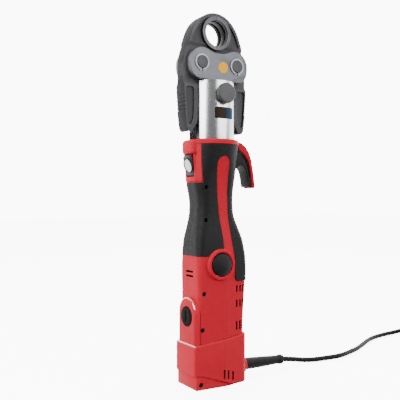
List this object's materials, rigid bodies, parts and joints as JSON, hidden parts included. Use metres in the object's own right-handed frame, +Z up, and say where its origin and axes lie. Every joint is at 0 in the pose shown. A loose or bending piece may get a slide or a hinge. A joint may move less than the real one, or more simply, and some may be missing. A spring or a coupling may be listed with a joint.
{
  "type": "press tool",
  "caption": "Mains press tool for pipe fittings: red in-line housing with black grip, swivelling fork, two-lever press jaw, hook, start lever and cord",
  "frame": {"origin": "middle of the foot underside, on the tool axis", "axes": "+Z up along the tool to the jaw, +X right to the hook and cord, -Y the front with the return button"},
  "size_m": [0.7437, 0.1402, 0.508],
  "materials": {
    "red_plastic": "satin moulded, signal red",
    "black_rubber": "matt soft skin",
    "black_plastic": "matt",
    "dark_plastic": "matt dark grey",
    "silver_plastic": "silver painted",
    "cord_rubber": "matt rubber sheath",
    "dark_steel": "phosphated dark grey",
    "satin_steel": "ground satin",
    "bright_steel": "bright plated",
    "cast_alloy": "turned aluminium",
    "brass": "plain",
    "copper": "lacquered copper",
    "carbon": "pressed carbon",
    "green_board": "coated board"
  },
  "bodies": {
    "housing": {"front_shell": "red_plastic", "rear_shell": "red_plastic", "front_grip": "black_rubber", "rear_grip": "black_rubber", "collar_ring": "red_plastic", "switch_bezel": "red_plastic", "hook_frame": "red_plastic", "hook_lining": "black_rubber", "foot_sleeve": "red_plastic", "foot_base": "red_plastic", "housing_screws": "satin_steel", "brush_caps": "black_plastic", "start_switch": "black_plastic", "head_bearing": "brass", "return_spring": "satin_steel", "press_cylinder": "cast_alloy", "cylinder_head": "brass", "pump_block": "cast_alloy", "oil_bladder": "black_rubber", "gear_case": "cast_alloy", "motor_stator": "satin_steel", "motor_bracket": "black_plastic", "motor_bearings": "satin_steel", "brush_holders": "brass", "carbon_brushes": "carbon", "control_board": "green_board", "bend_sleeve": "black_rubber", "mains_cord": "cord_rubber", "cord_coil": "cord_rubber", "coil_tie": "black_plastic", "plug": "black_plastic"},
    "head": {"jaw_fork": "bright_steel", "head_clip": "dark_steel", "front_side_plate": "satin_steel", "rear_side_plate": "satin_steel", "jaw_pins": "satin_steel", "retaining_rings": "bright_steel"},
    "lever_left": {"jaw_lever_left": "dark_steel"},
    "lever_right": {"jaw_lever_right": "dark_steel"},
    "bolt": {"retaining_bolt": "satin_steel", "bolt_knob": "dark_plastic"},
    "ram": {"ram_piston": "satin_steel", "piston_seal": "black_rubber", "roller_carriage": "dark_steel", "roller_axles": "satin_steel"},
    "roller_left": {"press_roller_left": "satin_steel"},
    "roller_right": {"press_roller_right": "satin_steel"},
    "start": {"start_lever": "dark_plastic", "lever_inlay": "silver_plastic"},
    "release": {"return_button": "black_rubber", "valve_pin": "brass"},
    "plunger": {"pump_plunger": "dark_steel"},
    "rotor": {"motor_shaft": "satin_steel", "armature": "copper", "commutator": "copper", "cooling_fan": "black_plastic"},
    "carrier": {"planet_carrier": "satin_steel"},
    "planet_a": {"planet_gear_a": "satin_steel"},
    "planet_b": {"planet_gear_b": "satin_steel"},
    "planet_c": {"planet_gear_c": "satin_steel"}
  },
  "joints": [
    {"name": "head_swivel", "type": "hinge", "parent": "housing", "child": "head", "pos_m": [0, 0, 0.32], "axis": [0, 0, 1], "range_deg": [-90, 90]},
    {"name": "press_stroke", "type": "slide", "parent": "head", "child": "ram", "axis": [0, 0, -1], "range_m": [0, 0.04]},
    {"name": "jaw_left_open", "type": "hinge", "parent": "head", "child": "lever_left", "pos_m": [-0.0283, 0, 0.4364], "axis": [0, -1, 0], "range_deg": [0, 10]},
    {"name": "jaw_right_open", "type": "hinge", "parent": "head", "child": "lever_right", "pos_m": [0.0283, 0, 0.4364], "axis": [0, 1, 0], "range_deg": [0, 10]},
    {"name": "roller_left_turn", "type": "hinge", "parent": "ram", "child": "roller_left", "pos_m": [-0.0115, 0, 0.374], "axis": [0, 1, 0], "range_deg": [0, 208.4]},
    {"name": "roller_right_turn", "type": "hinge", "parent": "ram", "child": "roller_right", "pos_m": [0.0115, 0, 0.374], "axis": [0, -1, 0], "range_deg": [0, 208.4]},
    {"name": "bolt_pull", "type": "slide", "parent": "head", "child": "bolt", "axis": [0, -1, 0], "range_m": [0, 0.05]},
    {"name": "start_press", "type": "hinge", "parent": "housing", "child": "start", "pos_m": [-0.031, 0, 0.287], "axis": [0, 1, 0], "range_deg": [0, 7], "stiffness_Nm_per_rad": 0.6},
    {"name": "return_press", "type": "slide", "parent": "housing", "child": "release", "axis": [0, 1, 0], "range_m": [0, 0.0025], "stiffness_N_per_m": 800},
    {"name": "plunger_lift", "type": "slide", "parent": "housing", "child": "plunger", "axis": [1, 0, 0], "range_m": [0, 0.003], "stiffness_N_per_m": 800},
    {"name": "motor_turn", "type": "hinge", "parent": "housing", "child": "rotor", "pos_m": [0, 0, 0.11], "axis": [0, 0, 1], "continuous": true},
    {"name": "carrier_turn", "type": "hinge", "parent": "housing", "child": "carrier", "pos_m": [0, 0, 0.165], "axis": [0, 0, 1], "continuous": true},
    {"name": "planet_a_turn", "type": "hinge", "parent": "carrier", "child": "planet_a", "pos_m": [0.0108, 0, 0.158], "axis": [0, 0, 1], "continuous": true},
    {"name": "planet_b_turn", "type": "hinge", "parent": "carrier", "child": "planet_b", "pos_m": [-0.0054, 0.00935, 0.158], "axis": [0, 0, 1], "continuous": true},
    {"name": "planet_c_turn", "type": "hinge", "parent": "carrier", "child": "planet_c", "pos_m": [-0.0054, -0.00935, 0.158], "axis": [0, 0, 1], "continuous": true}
  ],
  "couplings": [
    {"joint": "jaw_left_open", "follows": "press_stroke", "rad_per_m": 4.3633},
    {"joint": "jaw_right_open", "follows": "press_stroke", "rad_per_m": 4.3633},
    {"joint": "roller_left_turn", "follows": "press_stroke", "rad_per_m": 90.909},
    {"joint": "roller_right_turn", "follows": "press_stroke", "rad_per_m": 90.909},
    {"joint": "carrier_turn", "follows": "motor_turn", "ratio": 0.22222},
    {"joint": "planet_a_turn", "follows": "motor_turn", "ratio": -0.62222},
    {"joint": "planet_b_turn", "follows": "motor_turn", "ratio": -0.62222},
    {"joint": "planet_c_turn", "follows": "motor_turn", "ratio": -0.62222}
  ]
}
